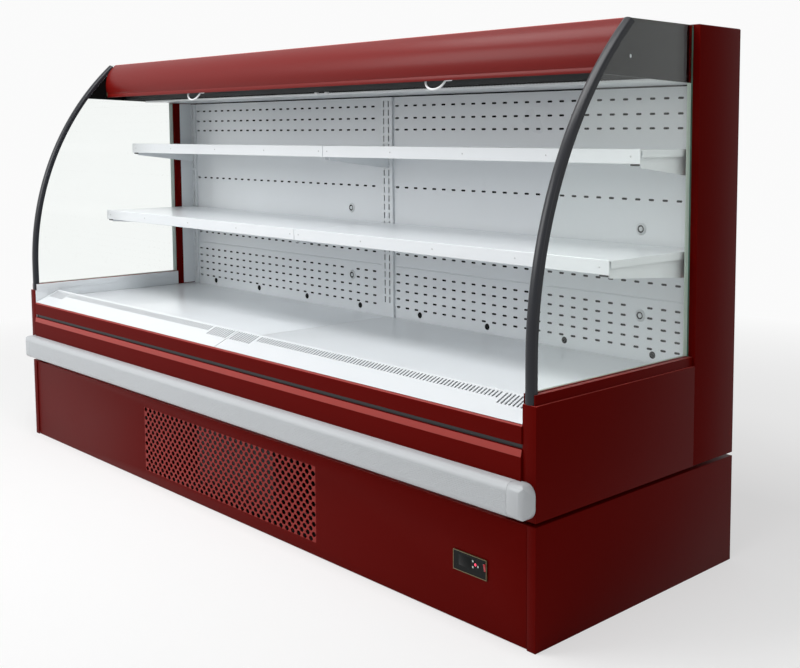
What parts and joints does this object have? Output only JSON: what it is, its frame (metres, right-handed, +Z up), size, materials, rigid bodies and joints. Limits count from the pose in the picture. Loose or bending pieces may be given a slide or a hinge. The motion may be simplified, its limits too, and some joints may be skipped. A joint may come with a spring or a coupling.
{
  "type": "open multideck display fridge",
  "caption": "Low open-front chilled display cabinet with glass ends, curved canopy with roll-down night blinds, hook-on shelves, a chilled well and a plug-in cooling unit in its base.",
  "frame": {"origin": "middle of the footprint of the whole cabinet, front bumper included, on the floor it stands on", "axes": "+X along the cabinet to the right of a shopper who faces it, +Y from the open front to the back, +Z up"},
  "size_m": [2.58, 0.806, 1.4],
  "materials": {
    "foam_panel_red": "foam-filled panel with a smooth dark red painted skin",
    "foam_panel_lining": "foam-filled well with a white painted lining",
    "red_paint": "dark red gloss paint on sheet steel",
    "white_enamel": "glossy white enamel on sheet steel",
    "grey_plastic": "satin grey moulding with fine lengthwise ribs",
    "black_plastic": "satin black moulding",
    "white_plastic": "white moulding",
    "red_plastic": "translucent red",
    "end_glass": "clear toughened glass with green edges",
    "galvanised": "galvanised sheet",
    "black_metal": "black paint",
    "aluminium": "thin mill-finish sheet",
    "finned_block": "block of thin aluminium fins on tubes, mostly air",
    "copper": "drawn copper tube",
    "blind_cloth": "woven reflective cloth"
  },
  "bodies": {
    "cabinet": {"base_plate": "black_metal", "base_side_left": "red_paint", "base_side_right": "red_paint", "service_panel": "red_paint", "base_back_panel": "red_paint", "base_bulkhead": "galvanised", "cord_gland": "black_plastic", "controller_housing": "black_plastic", "compressor": "black_metal", "condenser_coil": "finned_block", "condenser_shroud": "galvanised", "evaporation_tray": "galvanised", "insulated_well": "foam_panel_lining", "drain_pipe": "grey_plastic", "refrigerant_lines": "copper", "end_panel_left": "foam_panel_red", "end_panel_right": "foam_panel_red", "rear_post_left": "foam_panel_red", "rear_post_right": "foam_panel_red", "back_wall": "foam_panel_red", "roof_panel": "foam_panel_red", "glass_trim_left": "black_plastic", "glass_trim_right": "black_plastic", "end_glass_left": "end_glass", "end_glass_right": "end_glass", "canopy_end_left": "black_plastic", "canopy_end_right": "black_plastic", "canopy_fascia": "red_paint", "ceiling_lining": "white_enamel", "discharge_grid": "black_plastic", "upright_left": "white_enamel", "upright_centre": "white_enamel", "upright_right": "white_enamel", "back_duct_left": "white_enamel", "back_duct_right": "white_enamel", "evaporator_coil": "finned_block", "evaporator_fan_plate": "galvanised", "return_grille_left": "white_enamel", "return_grille_right": "white_enamel", "front_panel": "foam_panel_red", "bumper_rail": "grey_plastic", "bumper_cap_left": "grey_plastic", "bumper_cap_right": "grey_plastic"},
    "shelf_upper_left": {"shelf_upper_left": "white_enamel"},
    "shelf_upper_right": {"shelf_upper_right": "white_enamel"},
    "shelf_lower_left": {"shelf_lower_left": "white_enamel"},
    "shelf_lower_right": {"shelf_lower_right": "white_enamel"},
    "deck_tray_left": {"deck_tray_left": "white_enamel"},
    "deck_tray_right": {"deck_tray_right": "white_enamel"},
    "blind_bar_left": {"blind_bar_left": "white_plastic"},
    "blind_bar_right": {"blind_bar_right": "white_plastic"},
    "blind_roller_left": {"blind_roller_left": "blind_cloth"},
    "blind_roller_right": {"blind_roller_right": "blind_cloth"},
    "condenser_fan": {"condenser_fan": "aluminium"},
    "evaporator_fan_left": {"evaporator_fan_left": "aluminium"},
    "evaporator_fan_right": {"evaporator_fan_right": "aluminium"},
    "key_up": {"key_up": "white_plastic"},
    "key_down": {"key_down": "white_plastic"},
    "key_set": {"key_set": "white_plastic"},
    "power_rocker": {"power_rocker": "red_plastic"}
  },
  "joints": [
    {"name": "shelf_upper_left_tilt", "type": "hinge", "parent": "cabinet", "child": "shelf_upper_left", "pos_m": [0, 0.299, 1.0795], "axis": [-1, 0, 0], "range_deg": [0, 10]},
    {"name": "shelf_upper_right_tilt", "type": "hinge", "parent": "cabinet", "child": "shelf_upper_right", "pos_m": [0, 0.299, 1.0795], "axis": [-1, 0, 0], "range_deg": [0, 10]},
    {"name": "shelf_lower_left_tilt", "type": "hinge", "parent": "cabinet", "child": "shelf_lower_left", "pos_m": [0, 0.299, 0.823], "axis": [-1, 0, 0], "range_deg": [0, 10]},
    {"name": "shelf_lower_right_tilt", "type": "hinge", "parent": "cabinet", "child": "shelf_lower_right", "pos_m": [0, 0.299, 0.823], "axis": [-1, 0, 0], "range_deg": [0, 10]},
    {"name": "deck_tray_left_lift", "type": "slide", "parent": "cabinet", "child": "deck_tray_left", "axis": [0, 0, 1], "range_m": [0, 0.06]},
    {"name": "deck_tray_right_lift", "type": "slide", "parent": "cabinet", "child": "deck_tray_right", "axis": [0, 0, 1], "range_m": [0, 0.06]},
    {"name": "blind_left_pull", "type": "slide", "parent": "cabinet", "child": "blind_bar_left", "axis": [0, -0.3518, -0.9361], "range_m": [0, 0.76], "stiffness_N_per_m": 5, "springref_m": -1.6},
    {"name": "blind_right_pull", "type": "slide", "parent": "cabinet", "child": "blind_bar_right", "axis": [0, -0.3518, -0.9361], "range_m": [0, 0.76], "stiffness_N_per_m": 5, "springref_m": -1.6},
    {"name": "blind_left_unwind", "type": "hinge", "parent": "cabinet", "child": "blind_roller_left", "pos_m": [0, -0.01, 1.312], "axis": [1, 0, 0], "range_deg": [0, 2000]},
    {"name": "blind_right_unwind", "type": "hinge", "parent": "cabinet", "child": "blind_roller_right", "pos_m": [0, -0.01, 1.312], "axis": [1, 0, 0], "range_deg": [0, 2000]},
    {"name": "condenser_fan_spin", "type": "hinge", "parent": "cabinet", "child": "condenser_fan", "pos_m": [0, -0.2287, 0.13215], "axis": [0, 1, 0], "continuous": true},
    {"name": "evaporator_fan_left_spin", "type": "hinge", "parent": "cabinet", "child": "evaporator_fan_left", "pos_m": [-0.62, -0.216, 0.427], "axis": [0, 1, 0], "continuous": true},
    {"name": "evaporator_fan_right_spin", "type": "hinge", "parent": "cabinet", "child": "evaporator_fan_right", "pos_m": [0.62, -0.216, 0.427], "axis": [0, 1, 0], "continuous": true},
    {"name": "key_up_press", "type": "slide", "parent": "cabinet", "child": "key_up", "axis": [0, 1, 0], "range_m": [0, 0.001], "stiffness_N_per_m": 300, "springref_m": -0.001},
    {"name": "key_down_press", "type": "slide", "parent": "cabinet", "child": "key_down", "axis": [0, 1, 0], "range_m": [0, 0.001], "stiffness_N_per_m": 300, "springref_m": -0.001},
    {"name": "key_set_press", "type": "slide", "parent": "cabinet", "child": "key_set", "axis": [0, 1, 0], "range_m": [0, 0.001], "stiffness_N_per_m": 300, "springref_m": -0.001},
    {"name": "power_rocker_rock", "type": "hinge", "parent": "cabinet", "child": "power_rocker", "pos_m": [1.135, -0.363, 0.1515], "axis": [-1, 0, 0], "range_deg": [0, 12]}
  ],
  "couplings": [
    {"joint": "blind_left_unwind", "follows": "blind_left_pull", "rad_per_m": 45.455},
    {"joint": "blind_right_unwind", "follows": "blind_right_pull", "rad_per_m": 45.455}
  ]
}
